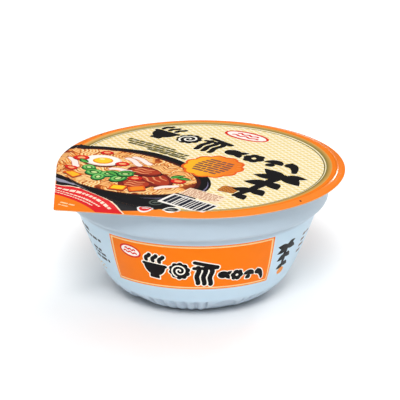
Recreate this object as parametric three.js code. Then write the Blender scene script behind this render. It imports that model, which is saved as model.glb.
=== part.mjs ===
// A sealed noodle bowl: a wide pack with a scalloped foot and a stepped collar, closed by a thin lid
// that is heat sealed on the rim and overhangs it, with one square pull tab.
// Millimetres, +Z up. The origin is in the plane that the bowl stands on. The lid is sealed on a little
// off centre, so the bowl's axis lies just left of the origin and the middle of the lid's outline just right.
// Angles round the axis are counted from -Y, the side with the main label, towards +X.
import * as THREE from "three";
import { mergeVertices } from "three/addons/utils/BufferGeometryUtils.js";

// Driving dimensions
const LID_RADIUS = 75;
const LID_THICKNESS = 0.5;
const PANEL_TOP = 67.0; // upper face of the lid inside the seal
const BOWL_MIDDLE = -0.9; // the bowl's axis, along X
const LID_MIDDLE = 1.0; // the middle of the lid's outline, along X
const SEAL_GAP = 0.3; // between the lid and what it lies on

const FOOT_INNER = 29;
const FOOT_OUTER = 35.2;
const FOOT_BEVEL = { out: 0.6, up: 0.3 };
const BASE_RECESS = 1.6;
const RECESS_SLOPE = 2; // how wide the slope round the recessed base is
const WALL_TOP_RADIUS = 64.2;
const WALL_TOP = 49.8;
const COLLAR_RADIUS = 68.2;
const COLLAR_BOTTOM = 50.6;
const COLLAR_ROUND = 3.8;
const RIM_RADIUS = 70.4;
const RIM_THICKNESS = 2.2;
const RIM_BEVEL = { out: 0.6, up: 0.5 };
const RIM_THROAT = { out: 0.6, up: 0.9 }; // the slope from the collar out to the rim's underside
const RIM_LIP = 0.4; // how far the rim's underside stays inside its edge

// The curves of the bowl's outside: how far their control points lie from their ends
const SKIRT_BELLY = { out: 9.8, up: 4.8 }; // from the foot's outer edge
const WALL_ROUND = { out: 4.8, up: 7.6 }; // from the skirt's top
const WALL_LEAN = { out: 5.1, up: 15.8 }; // down from the wall's top
const COLLAR_LEAN = { out: 0.3, up: 0.2 };

// The raised seal, round the bowl's axis: a low plateau over the rim, a slope inside it, a droop outside it
const SEAL_RISE = 0.7;
const SEAL_FOOT_RADIUS = 65.4; // where the slope up from the panel starts
const SEAL_TOP_RADIUS = 68.6; // where the plateau starts
const SEAL_EDGE_RADIUS = 71.0; // where the plateau ends
const EDGE_DROOP = 0.9; // how far the free edge lies below the plateau

// The pull tab: a corner between two edges that both run tangent to the round lid
const TAB_DIRECTION = -45; // degrees
const TAB_HALF_ANGLE = 38.4; // degrees from the tab's middle to where each edge leaves the circle
const TAB_REACH = 94.6; // the clipped corner's distance from the lid's centre

// The foot: wide arched hollows with groups of narrow lobes between them. Their faces stand upright
// in a skirt that flares out, so they cut deeper the higher they reach, and end in a small ledge.
const PERIOD = 60; // degrees from one arch to the next
const ARCH_MIDDLE = 21; // degrees
const ARCH_WIDTH = 22.5; // degrees
const LOBE_WIDTH = 7.5; // degrees
const GROOVE_DEPTHS = [1.0, 3.0]; // at the foot's edge and at the ledge
const ARCH_DEPTHS = [0.7, 2.2];
const SKIRT_TOP_RADIUS = 49.0;
const SKIRT_TOP = 11.0; // height where the fluted skirt meets the plain wall
const GROOVE_END = 0.78; // share of the skirt's height where a groove's ledge starts
const ARCH_END = 0.86; // the same for the top of an arch
const LEDGE = 0.14; // share of the skirt's height that a ledge takes

const BOWL_COLUMNS = 192;
const LID_COLUMNS = 120;
const SKIRT_ROWS = 7;
const WALL_ROWS = 6;
const ROUND_ROWS = 4;
const MERGE_DISTANCE = 1e-4;
const NEAR = 0.01; // vertices nearer than this to an edge count as lying on it

const radians = THREE.MathUtils.degToRad;
const { smoothstep, lerp } = THREE.MathUtils;
const point = (radius, height) => new THREE.Vector2(radius, height);

// Height of the lid's relief above its panel, at a distance from the bowl's axis.
function sealRelief(radius) {
  const up = smoothstep(radius, SEAL_FOOT_RADIUS, SEAL_TOP_RADIUS);
  const down = smoothstep(radius, SEAL_EDGE_RADIUS, LID_RADIUS);
  return SEAL_RISE * up - EDGE_DROOP * down;
}

// Points along a curve, without its first one, which the curve before it has given.
const rowsOf = (curve, rows) => curve.getPoints(rows).slice(1);

// The fluted skirt between the foot and the wall, as one smooth curve in radius and height.
const skirtCurve = new THREE.QuadraticBezierCurve(
  point(FOOT_OUTER, 0),
  point(FOOT_OUTER + SKIRT_BELLY.out, SKIRT_BELLY.up),
  point(SKIRT_TOP_RADIUS, SKIRT_TOP),
);

// The plain wall, round below and almost straight above.
const wallCurve = new THREE.CubicBezierCurve(
  point(SKIRT_TOP_RADIUS, SKIRT_TOP),
  point(SKIRT_TOP_RADIUS + WALL_ROUND.out, SKIRT_TOP + WALL_ROUND.up),
  point(WALL_TOP_RADIUS - WALL_LEAN.out, WALL_TOP - WALL_LEAN.up),
  point(WALL_TOP_RADIUS, WALL_TOP),
);

// The rounded lower edge of the collar.
const collarCurve = new THREE.QuadraticBezierCurve(
  point(WALL_TOP_RADIUS + COLLAR_LEAN.out, COLLAR_BOTTOM),
  point(COLLAR_RADIUS, COLLAR_BOTTOM + COLLAR_LEAN.up),
  point(COLLAR_RADIUS + COLLAR_LEAN.out, COLLAR_BOTTOM + COLLAR_ROUND),
);

// Depth of an upright cut at a share of the skirt's height: it grows up to its ledge and ends there.
function cutDepth([low, high], end, share) {
  return lerp(low, high, share) * (1 - smoothstep(share, end, end + LEDGE));
}

// How deep the foot's relief cuts in, at an angle and at a share of the skirt's height.
function footRelief(angle, share) {
  const turned = THREE.MathUtils.euclideanModulo(angle - ARCH_MIDDLE + ARCH_WIDTH / 2, PERIOD);
  if (turned < ARCH_WIDTH) {
    const across = (turned / ARCH_WIDTH) * 2 - 1;
    return cutDepth(ARCH_DEPTHS, ARCH_END * Math.sqrt(1 - across * across) - LEDGE, share);
  }
  const lobe = Math.abs(Math.sin((Math.PI * (turned - ARCH_WIDTH)) / LOBE_WIDTH));
  return cutDepth(GROOVE_DEPTHS, GROOVE_END, share) * (1 - lobe);
}

// Presses the foot's relief into a turned bowl, level towards its axis.
function pressFoot(geometry) {
  const position = geometry.getAttribute("position");
  for (let i = 0; i < position.count; i++) {
    const [x, y, z] = [position.getX(i), position.getY(i), position.getZ(i)];
    const radius = Math.hypot(x, y);
    if (z > SKIRT_TOP || radius < FOOT_OUTER - NEAR) continue;
    const angle = THREE.MathUtils.radToDeg(Math.atan2(x, -y));
    const scale = 1 - footRelief(angle, z / SKIRT_TOP) / radius;
    position.setXYZ(i, x * scale, y * scale, z);
  }
}

// A closed turned solid about +Z, from a profile that starts and ends on the axis.
function turned(profile, columns, firstAngle) {
  const lathe = new THREE.LatheGeometry(profile, columns, radians(firstAngle));
  lathe.rotateX(Math.PI / 2);
  lathe.deleteAttribute("normal");
  lathe.deleteAttribute("uv");
  return mergeVertices(lathe, MERGE_DISTANCE);
}

function bowlGeometry() {
  const rimTop = PANEL_TOP - LID_THICKNESS - SEAL_GAP + SEAL_RISE;
  const rimBottom = rimTop - RIM_THICKNESS;
  const profile = [
    point(0, BASE_RECESS),
    point(FOOT_INNER - RECESS_SLOPE, BASE_RECESS),
    point(FOOT_INNER, FOOT_BEVEL.up),
    point(FOOT_INNER + FOOT_BEVEL.out, 0),
    point(FOOT_OUTER, 0),
    ...rowsOf(skirtCurve, SKIRT_ROWS),
    ...rowsOf(wallCurve, WALL_ROWS),
    ...collarCurve.getPoints(ROUND_ROWS),
    point(RIM_RADIUS - RIM_THROAT.out, rimBottom - RIM_THROAT.up),
    point(RIM_RADIUS - RIM_LIP, rimBottom),
    point(RIM_RADIUS, rimBottom + RIM_BEVEL.up),
    point(RIM_RADIUS, rimTop - RIM_BEVEL.up),
    point(RIM_RADIUS - RIM_BEVEL.out, rimTop),
    point(SEAL_TOP_RADIUS, rimTop),
    point(SEAL_FOOT_RADIUS, rimTop - SEAL_RISE),
    point(0, rimTop - SEAL_RISE),
  ];
  const geometry = turned(profile, BOWL_COLUMNS, ARCH_MIDDLE - ARCH_WIDTH / 2);
  pressFoot(geometry);
  return geometry;
}

// Distance from the lid's centre to its edge, at an angle.
function lidReach(angle) {
  const aside = Math.abs(THREE.MathUtils.euclideanModulo(angle - TAB_DIRECTION + 180, 360) - 180);
  if (aside >= TAB_HALF_ANGLE) return LID_RADIUS;
  const edge = LID_RADIUS / Math.cos(radians(TAB_HALF_ANGLE - aside));
  return Math.min(edge, TAB_REACH / Math.cos(radians(aside)));
}

// Draws the outermost rows of a turned lid out to its outline, which has a centre of its own and the tab.
function drawOutEdge(geometry) {
  const position = geometry.getAttribute("position");
  for (let i = 0; i < position.count; i++) {
    const [x, y] = [position.getX(i), position.getY(i)];
    if (Math.hypot(x, y) < LID_RADIUS - NEAR) continue;
    const scale = lidReach(THREE.MathUtils.radToDeg(Math.atan2(x, -y))) / LID_RADIUS;
    position.setXY(i, x * scale + LID_MIDDLE - BOWL_MIDDLE, y * scale);
  }
}

function lidGeometry() {
  const between = (SEAL_FOOT_RADIUS + SEAL_TOP_RADIUS) / 2;
  const steps = [SEAL_FOOT_RADIUS, between, SEAL_TOP_RADIUS, SEAL_EDGE_RADIUS, LID_RADIUS];
  const face = [0, ...steps].map((radius) => point(radius, PANEL_TOP + sealRelief(radius)));
  const back = face.map((p) => point(p.x, p.y - LID_THICKNESS));
  const geometry = turned([...back, ...face.reverse()], LID_COLUMNS, 0);
  drawOutEdge(geometry);
  return geometry;
}

const bowl = new THREE.Mesh(
  bowlGeometry(),
  new THREE.MeshStandardMaterial({ color: 0xc9dcea, roughness: 0.42, metalness: 0 }),
);
bowl.name = "bowl";
bowl.position.x = BOWL_MIDDLE;

const lid = new THREE.Mesh(
  lidGeometry(),
  new THREE.MeshStandardMaterial({ color: 0xf7ead0, roughness: 0.3, metalness: 0 }),
);
lid.name = "lid";
lid.position.x = BOWL_MIDDLE;

const noodleBowl = new THREE.Group();
noodleBowl.add(bowl, lid);

export default noodleBowl;
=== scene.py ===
"""The looks of a sealed noodle bowl: its printed lid, its moulded bowl, a plain studio and the camera.

Lengths are millimetres until a mesh is made, and Blender's own settings are in metres.
Angles round the bowl are degrees counted from -Y, the side with the main label, towards +X.
"""

import math
import random

import bmesh
import bpy
import numpy as np
from mathutils import Matrix, Vector, noise
from mathutils.geometry import delaunay_2d_cdt


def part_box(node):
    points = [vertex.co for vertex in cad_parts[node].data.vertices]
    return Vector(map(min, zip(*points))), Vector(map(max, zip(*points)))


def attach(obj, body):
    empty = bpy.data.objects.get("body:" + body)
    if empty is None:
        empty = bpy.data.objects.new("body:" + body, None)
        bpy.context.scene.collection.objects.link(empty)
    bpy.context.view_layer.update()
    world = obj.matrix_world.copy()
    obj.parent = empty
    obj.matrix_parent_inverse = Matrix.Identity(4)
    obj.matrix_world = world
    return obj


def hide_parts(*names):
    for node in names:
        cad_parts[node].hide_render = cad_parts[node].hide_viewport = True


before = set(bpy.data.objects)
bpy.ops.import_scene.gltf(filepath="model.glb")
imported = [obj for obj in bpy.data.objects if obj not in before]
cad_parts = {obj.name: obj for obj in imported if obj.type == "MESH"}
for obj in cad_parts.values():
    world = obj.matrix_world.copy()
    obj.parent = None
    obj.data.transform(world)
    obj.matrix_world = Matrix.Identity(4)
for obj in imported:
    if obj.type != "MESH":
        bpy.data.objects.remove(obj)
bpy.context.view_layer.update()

bl_info = {
    "name": "Sealed Noodle Bowl",
    "version": (1, 0, 0),
    "blender": (4, 5, 0),
    "location": "3D View > Sidebar > Noodle Bowl",
    "description": "Builds a printed lid, a moulded bowl, a studio and a camera around the packed model",
    "category": "Object",
}

BODY = "root"
MM = 0.001

# Places and sizes that the frame gives
BOWL_LOW, BOWL_HIGH = (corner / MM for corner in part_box("bowl"))
LID_LOW, LID_HIGH = (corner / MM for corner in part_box("lid"))
LID_RADIUS = (LID_HIGH.y - LID_LOW.y) / 2
LID_CENTRE = Vector((LID_HIGH.x - LID_RADIUS, (LID_HIGH.y + LID_LOW.y) / 2))
LID_TOP = LID_HIGH.z
RIM_RADIUS = (BOWL_HIGH.x - BOWL_LOW.x) / 2
RIM_TOP = BOWL_HIGH.z
BOWL_CENTRE = Vector(((BOWL_HIGH.x + BOWL_LOW.x) / 2, (BOWL_HIGH.y + BOWL_LOW.y) / 2))

# The lid's relief round the bowl's axis: a low plateau over the rim, and a free edge that droops.
# The sealing tool's bead runs round the middle of the lid instead.
SEAL_RISE = 0.7
SEAL_FOOT_RADIUS = 65.4
SEAL_TOP_RADIUS = 68.6
SEAL_EDGE_RADIUS = 71.0
EDGE_DROOP = 0.9
BEAD_RADIUS = 70.9
BEAD_WIDTH = 0.45
PANEL_TOP = LID_TOP - SEAL_RISE
BOWL_ASIDE = BOWL_CENTRE - LID_CENTRE
LID_CLEARANCE = 0.03  # between the foil and the rim

# The slow waves of the sheet, which fade out at the seal and come back, weaker, on the free edge
SWELL_LENGTH = 26
SWELL_LAYER = 0.3
SWELL_FADE = (52, 64)
LOOSE_EDGE = (72, 76)
LOOSE_SHARE = 0.35

# The pull tab: a corner between two edges that run tangent to the round lid
TAB_DIRECTION = -45
TAB_HALF_ANGLE = 38.4
TAB_ROUND = 2.0

# The bowl's turned profile. Each pair says how far a curve's control point lies from one of its ends.
FOOT_INNER = 29
FOOT_OUTER = 35.2
BASE_RECESS = 1.6
BASE_RING_HEIGHT = 0.35
SKIRT_TOP = 11.0
SKIRT_TOP_RADIUS = 49.0
SKIRT_BELLY = (9.8, 4.8)
WALL_TOP = 49.8
WALL_TOP_RADIUS = 64.2
WALL_ROUND = (4.8, 7.6)
WALL_LEAN = (5.1, 15.8)
COLLAR_BOTTOM = 50.6
COLLAR_RADIUS = 68.2
MOUTH_RADIUS = 40  # where the flat face across the mouth starts to be cut as one disc

# The foot's relief: wide arched hollows with groups of narrow lobes between them. The cuts are upright
# in a skirt that flares out, so they grow deeper up to the small ledge that ends them.
PERIOD = 60
ARCH_MIDDLE = 21
ARCH_WIDTH = 22.5
LOBE_WIDTH = 7.5
GROOVE_DEPTHS = (1.1, 3.4)
ARCH_DEPTHS = (0.8, 2.5)
GROOVE_END = 0.86
ARCH_END = 0.94
LEDGE = 0.07

# How finely the bowl is cut. The wall's seam is where nothing is printed.
SEAM = -92
FOOT_COLUMNS = 720
RIM_COLUMNS = 360
SKIRT_ROWS = 22
WALL_ROWS = 18


def srgb(red, green, blue):
    """A colour as printed, 0 to 255 a channel, in the linear values that shaders use."""
    shares = (red / 255, green / 255, blue / 255)
    return tuple(s / 12.92 if s <= 0.04045 else ((s + 0.055) / 1.055) ** 2.4 for s in shares)


def smoothstep(low, high, value):
    share = min(max((value - low) / (high - low), 0.0), 1.0)
    return share * share * (3.0 - 2.0 * share)


def mixed(first, second, share):
    return tuple(a + (b - a) * share for a, b in zip(first, second))


def heading(angle, length=1.0):
    """The point at an angle round the bowl, counted from -Y towards +X."""
    return Vector((math.sin(math.radians(angle)), -math.cos(math.radians(angle)))) * length


def polar(angle, length=1.0):
    """The point at an angle in degrees counted from the page's own x axis."""
    return Vector((math.cos(math.radians(angle)), math.sin(math.radians(angle)))) * length


# Outlines of printed shapes, on a page with x to the right and y up


def placed(outline, at=(0, 0), turn=0.0, size=1.0):
    """An outline sized and turned about its own origin, and moved."""
    turned = Matrix.Rotation(math.radians(turn), 2)
    return [turned @ Vector(p) * size + Vector(at) for p in outline]


def ellipse(centre, radii, turn=0.0, steps=32, wobble=0.0, draws=None):
    """An ellipse, made uneven by a few slow waves round it where it wobbles."""
    waves = [(n, draws.uniform(0, math.tau), wobble / n) for n in (2, 3, 5)] if wobble else []
    outline = []
    for i in range(steps):
        angle = math.tau * i / steps
        reach = 1 + sum(share * math.sin(n * angle + phase) for n, phase, share in waves)
        outline.append((radii[0] * reach * math.cos(angle), radii[1] * reach * math.sin(angle)))
    return placed(outline, centre, turn)


def disc(centre, radius, steps=24):
    return ellipse(centre, (radius, radius), steps=steps)


def box(centre, size, corner=0.0, turn=0.0):
    """A rectangle with round corners."""
    corner = min(corner, size[0] * 0.45, size[1] * 0.45)
    outline = []
    for i, (across, up) in enumerate(((1, -1), (1, 1), (-1, 1), (-1, -1))):
        inner = Vector((across * (size[0] / 2 - corner), up * (size[1] / 2 - corner)))
        angles = range(90 * i - 90, 90 * i + 1, 30) if corner else (90 * i,)
        outline += [inner + polar(angle, corner) for angle in angles]
    return placed(outline, centre, turn)


def sector(centre, inner, outer, start, end, steps=24):
    """A band of a ring between two angles of the page."""
    angles = [start + (end - start) * i / steps for i in range(steps + 1)]
    out = [Vector(centre) + polar(angle, outer) for angle in angles]
    back = [Vector(centre) + polar(angle, inner) for angle in reversed(angles)]
    return out + back


def lobed(centre, radius, lobes, depth):
    """A round shape with shallow lobes, like a flower seen from above."""
    outline = []
    for i in range(lobes * 8):
        reach = radius - depth * (1 - abs(math.sin(math.pi * i / 8)))
        outline.append(polar(360 * i / (lobes * 8), reach))
    return placed(outline, centre)


def ribbon(path, width, caps=3):
    """The outline of a stroke along a path. The width is a number, or a function of the share along it."""
    path = [Vector(p) for p in path]
    last = len(path) - 1
    half = (lambda share: width(share) / 2) if callable(width) else (lambda share: width / 2)
    left, right = [], []
    for i, p in enumerate(path):
        along = (path[min(i + 1, last)] - path[max(i - 1, 0)]).normalized()
        across = Vector((-along.y, along.x)) * half(i / last)
        left.append(p + across)
        right.append(p - across)
    return right + cap(path[-1], right[-1], caps) + left[::-1] + cap(path[0], left[0], caps)


def cap(centre, start, steps):
    """The points of a round end, half a turn about its centre, without its two ends."""
    turns = [math.pi * i / (steps + 1) for i in range(1, steps + 1)]
    return [centre + Matrix.Rotation(turn, 2) @ (start - centre) for turn in turns]


def wave(start, end, waves, height, steps=6, phase=0.0):
    """A path from start to end that swings to both sides."""
    start, end = Vector(start), Vector(end)
    along = (end - start).normalized()
    across = Vector((-along.y, along.x))
    count = max(int(waves * steps * 2), 4)
    points = []
    for i in range(count + 1):
        share = i / count
        points.append(start.lerp(end, share) + across * height * math.sin(math.tau * waves * share + phase))
    return points


def tapered(width, tip):
    """A brush stroke's width: full near its start and thin at its end."""
    return lambda share: width * (tip + (1 - tip) * (1 - share) ** 0.6)


def leaf(root, length, width, turn, bend=0.0):
    """A pointed leaf that bends to one side."""
    shares = [i / 8 for i in range(9)]
    spine = [Vector((length * share, bend * math.sin(math.pi * share))) for share in shares]
    halves = [Vector((0, width / 2 * math.sin(math.pi * share**0.8))) for share in shares]
    lower = [p - half for p, half in zip(spine, halves)]
    upper = [p + half for p, half in zip(spine, halves)]
    return placed(lower + upper[-2:0:-1], root, turn)


class Artwork:
    """Printed shapes on one surface. A later shape covers the earlier ones, as inks do."""

    def __init__(self, turn=0.0):
        self.turned = Matrix.Rotation(math.radians(turn), 2)
        self.points = []
        self.lines = []
        self.loops = []
        self.shapes = []

    def area(self, outline, ink, inside=None, pattern=0.0):
        """Adds a shape and returns its number. An ink is a colour, or a function of a point of the page."""
        outline = [self.turned @ Vector(p) for p in outline]
        twice = sum(a.x * b.y - a.y * b.x for a, b in zip(outline, outline[1:] + outline[:1]))
        first = len(self.points)
        self.points += outline if twice > 0 else outline[::-1]
        self.loops.append(list(range(first, len(self.points))))
        self.shapes.append((ink, inside, pattern))
        return len(self.shapes) - 1

    def line(self, path, closed=False):
        """Adds a line that only cuts the surface finer. It isn't turned with the page."""
        first = len(self.points)
        self.points += [Vector(p) for p in path]
        ends = list(range(first, len(self.points)))
        self.lines += list(zip(ends, ends[1:] + ends[:1] if closed else ends[1:]))

    def cut(self):
        """Triangles of the whole surface, each with the number of the shape that shows there."""
        made = delaunay_2d_cdt(self.points, self.lines, self.loops, 1, 1e-5, True)
        points, triangles, covers = made[0], made[2], made[5]
        cells = []
        for corners, owners in zip(triangles, covers):
            owners = set(owners)
            if 0 not in owners:
                continue
            shown = [n for n in owners if self.shapes[n][0] is not None]
            shown = [n for n in shown if self.shapes[n][1] is None or self.shapes[n][1] in owners]
            cells.append((corners, max(shown)))
        return points, cells

    def colour(self, shape, point):
        """The ink of a shape at a point of the surface, with the pattern's share as the fourth value."""
        ink, _, pattern = self.shapes[shape]
        value = ink(self.turned.inverted() @ point) if callable(ink) else ink
        return (*value, pattern)


# Motifs that more than one print uses. A sign is about 15 across and drawn round its own middle,
# and it grows by a margin on every side.

BLACK = srgb(10, 8, 10)
WARM_WHITE = srgb(255, 250, 236)
ORANGE = srgb(246, 126, 18)
LABEL_ORANGE = srgb(252, 124, 4)
CREAM = srgb(252, 233, 180)
BADGE_RED = srgb(222, 44, 30)


def strands(places, start, end, waves, height, width):
    """Like wavy strokes side by side, from a start to an end counted from their places across."""
    paths = [wave((x, start), (x + end[0], end[1]), waves, height) for x in places]
    return [ribbon(path, width) for path in paths]


def bowl_sign(grow):
    """A noodle bowl with three curls of steam."""
    under = [(6.4 * math.cos(math.pi * i / 16), 0.6 - 7.2 * math.sin(math.pi * i / 16)) for i in range(17)]
    body = [Vector(p) + Vector(p).normalized() * grow for p in under]
    rim = ribbon([(-6.4, 1.2), (6.4, 1.2)], 2.2 + 2 * grow)
    foot = box((0, -7.2), (6.0 + 2 * grow, 2.6 + 2 * grow), 0.6)
    return [body, rim, foot, *strands((-4.8, -0.9, 3.0), 3.9, (1.4, 8.4), 0.8, 0.6, 2.4 + 2 * grow)]


def sticks_sign(grow):
    """Two chopsticks that lift three wavy strands."""
    upper = ribbon([(-6.8, 7.6), (6.8, 5.4)], 2.6 + 2 * grow)
    lower = ribbon([(-6.8, 3.2), (6.8, 4.8)], 2.4 + 2 * grow)
    return [upper, lower, *strands((-4.4, -0.4, 3.6), 4.2, (0.6, -8.2), 1.3, 0.5, 3.0 + 2 * grow)]


def swirl_sign(grow):
    """A lobed slice. Its spiral is drawn over it in the colour of the paper."""
    return [lobed((0, 0), 7.2 + grow, 10, 1.0)]


def swirl_line():
    turns = 1.7
    steps = 48
    path = [polar(360 * turns * i / steps, 0.4 + 4.4 * i / steps) for i in range(steps + 1)]
    return ribbon(path, 0.9)


def fish_sign(grow):
    """A small fish seen from the side."""
    body = ellipse((-0.9, 0), (3.8 + grow, 3.1 + grow), steps=20)
    return [body, *(leaf((1.2, 0), 5.0 + grow, 3.2 + 2 * grow, turn) for turn in (44, -44))]


def flower_sign(grow):
    """A slice of carrot cut as a flower, with six petals."""
    return [disc(polar(60 * i, 2.7), 2.2 + grow, 14) for i in range(6)] + [disc((0, 0), 2.4, 12)]


def mushroom_sign(grow):
    """A mushroom with a wide cap and a thick foot."""
    dome = [(4.6 * math.cos(math.pi * i / 12), -0.4 + 4.6 * math.sin(math.pi * i / 12)) for i in range(13)]
    grown = [Vector(p) + (Vector(p) - Vector((0, 1.0))).normalized() * grow for p in dome]
    return [grown, box((0, -2.2), (4.2 + 2 * grow, 3.6 + 2 * grow), 1.4)]


def pepper_sign(grow):
    """A bent pepper with its stalk."""
    spine = [(-2.6 + 1.0 * i, 1.9 - 0.16 * i * i) for i in range(7)]
    body = ribbon(spine, lambda share: 4.8 - 2.6 * share + 2 * grow)
    return [body, ribbon([(-2.8, 2.4), (-3.2, 4.0)], 1.3 + 2 * grow)]


def draw_signs(page, signs, at, turn, pitch, size, margin):
    """Black signs in a row, all over one pale margin."""
    for grow, ink in ((margin, WARM_WHITE), (0.0, BLACK)):
        for step, (sign, share) in enumerate(signs):
            where = Vector(at) + polar(turn, pitch * step)
            for outline in sign(grow / (size * share)):
                page.area(placed(outline, where, turn, size * share), ink)


def draw_title(page, at, turn, pitch, size, margin):
    """Three large signs: the pack's main print."""
    signs = ((bowl_sign, 1.0), (swirl_sign, 0.88), (sticks_sign, 0.96))
    draw_signs(page, signs, at, turn, pitch, size, margin)
    page.area(placed(swirl_line(), Vector(at) + polar(turn, pitch), turn, size), WARM_WHITE)


def draw_row(page, at, turn, pitch, size, margin, paper):
    """Four small signs of what goes into the bowl, with the paper showing through one of them."""
    signs = ((fish_sign, 1.0), (flower_sign, 0.95), (mushroom_sign, 0.95), (pepper_sign, 1.0))
    draw_signs(page, signs, at, turn, pitch, size, margin)
    page.area(disc(Vector(at) + polar(turn, pitch), size, 16), paper)


# The bamboo sprig: each cane's two ends and width, and each leaf's place, length, width and turn
SPRIG_CANES = (
    ((0.6, 13.0), (0.0, 4.6), 3.2), ((0.0, 3.4), (0.4, -6.4), 2.8), ((0.4, -7.6), (-0.8, -16.0), 2.3),
)
SPRIG_LEAVES = (
    ((1.6, 13.5), 13.0, 6.0, 166), ((1.4, 13.0), 13.0, 6.6, -158), ((0.4, 13.4), 13.5, 6.6, -22),
    ((0.6, 12.6), 11.5, 5.6, 20), ((0.4, 4.4), 10.4, 6.4, -150), ((0.2, 4.2), 9.8, 6.0, -30),
    ((0.4, -6.6), 9.0, 5.8, -24), ((0.4, -6.8), 8.2, 5.2, -154), ((-0.8, -15.0), 6.8, 4.6, -26),
)


def draw_sprig(page, at, turn, size):
    """A brushed bamboo sprig, 36 tall: three lengths of cane with leaves at the joints."""
    canes = [ribbon([a, b], lambda share, w=w: w * (1.7 - 0.4 * share)) for a, b, w in SPRIG_CANES]
    leaves = [leaf(root, length, width, angle, bend=0.7) for root, length, width, angle in SPRIG_LEAVES]
    for outline in canes + leaves:
        page.area(placed(outline, at, turn, size), BLACK)


def draw_badge(page, at, radii, turn):
    """An oval white badge with a thin red ring and two waves across it."""
    wide, high = radii
    page.area(ellipse(at, radii, turn), BADGE_RED)
    page.area(ellipse(at, (wide - high * 0.24, high * 0.74), turn), srgb(255, 247, 240))
    for lift, share in ((0.26, 0.46), (-0.22, 0.58)):
        middle = Vector(at) + polar(turn + 90, high * lift)
        ends = (middle - polar(turn, wide * share), middle + polar(turn, wide * share))
        page.area(ribbon(wave(*ends, 2.5, high * 0.1), high * 0.22), BADGE_RED)


def draw_bars(page, at, turn, length, height, ink, draws, gap=0.55):
    """A line of short bars of uneven length, as fine print reads from a distance."""
    done = 0.0
    while done < length - height:
        bar = min(height * draws.uniform(1.4, 4.2), length - done)
        middle = Vector(at) + polar(turn, done + bar / 2)
        page.area(box(middle, (bar, height), height * 0.25, turn), ink)
        done += bar + height * gap


# The lid's print. Its page lies on the lid with the origin at the lid's centre.

PAGE_TURN = -34
PRINT_ASIDE = Vector((-0.9, 0.0))  # the middle of the printed rings, because the lid is cut a little off it
BAND_RADIUS = 69.2
RING_RADIUS = 66.2
LINE_RADIUS = 65.6
FIELD_RADIUS = 65.0
FIELD_GOLD = srgb(248, 196, 108)
GOLD_PLACE = (-62, 8)
GOLD_REACH = (8, 46)
# The gold band's two inks: its darker inner edge is partly print and partly painted shade of the seal's slope
BAND_INKS_AND_SHADE = (srgb(132, 122, 62), srgb(222, 164, 82))
LINE_INK = srgb(116, 104, 48)
RING_INK = srgb(252, 236, 196)


def rings_middle():
    """The middle of the printed rings on the page."""
    return Matrix.Rotation(math.radians(-PAGE_TURN), 2) @ PRINT_ASIDE


def field_ink(p):
    """Cream, more golden at the left of the picture."""
    gold = 1 - smoothstep(*GOLD_REACH, math.hypot(p.x - GOLD_PLACE[0], p.y - GOLD_PLACE[1]))
    return mixed(CREAM, FIELD_GOLD, gold * 0.5)


def band_ink_and_shade(p):
    """The gold band: dark olive at its inner edge, orange gold at its outer edge. The dark olive is partly
    print and partly painted shade where the seal's slope rises.
    """
    return mixed(*BAND_INKS_AND_SHADE, smoothstep(RING_RADIUS, BAND_RADIUS, (p - rings_middle()).length))


def draw_ground(page):
    """The orange edge, the gold band, the fine rings and the cream field."""
    rings = (
        (BAND_RADIUS, band_ink_and_shade, 0.0), (RING_RADIUS, RING_INK, 0.0),
        (LINE_RADIUS, LINE_INK, 0.0), (FIELD_RADIUS, field_ink, 1.0),
    )
    page.area(lid_outline(), ORANGE)
    for radius, ink, pattern in rings:
        page.area(disc(rings_middle(), radius, 240), ink, pattern=pattern)


# The dish of noodles on the lid. It runs out over the lid's edge on one side.

DISH_CENTRE = Vector((-26, -33))
DISH_RADII = (52, 32)
DISH_WALL = ((-26, -46), (54, 46))  # the middle and radii of the dish's outside below its rim
DISH_MARGIN = 0.965  # the lid's share that the outside keeps to at the front
DISH_ASIDE = (-3.0, 0)  # so that it still reaches the lid's edge on the left
SOUP_CENTRE = Vector((-27, -33))
SOUP_RADII = (45, 26.5)
SOUP_EDGE = ((-26.6, -32.6), (46.6, 27.8))
SOUP_INKS = (srgb(206, 100, 38), srgb(118, 34, 14))
# Highlights along the dish's rim: radii, angles in radians, points, width and ink
DISH_SHINES = (
    ((50.4, 30.4), (-0.9, 0.5), 30, 1.2, srgb(124, 116, 146)),
    ((50.6, 30.8), (-2.9, -1.5), 24, 2.6, srgb(150, 148, 166)),
)

# Noodles lie in bundles. Each pair of inks is that of the reddest and of the palest bundle.
BUNDLES = 86
BUNDLE_LENGTHS = (9, 17)
STRANDS = 4
STRAND_PITCH = 1.9
STRAND_WAVE = 8.5
STRAND_WIDTHS = (2.6, 1.6, 0.8)  # of the dark edge, the strand and the pale line along it
STRAND_SHADE = (srgb(158, 58, 20), srgb(200, 100, 38))
STRAND_BODY = (srgb(236, 142, 62), srgb(250, 184, 100))
STRAND_LIGHT = (srgb(254, 204, 130), srgb(255, 230, 172))

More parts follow.
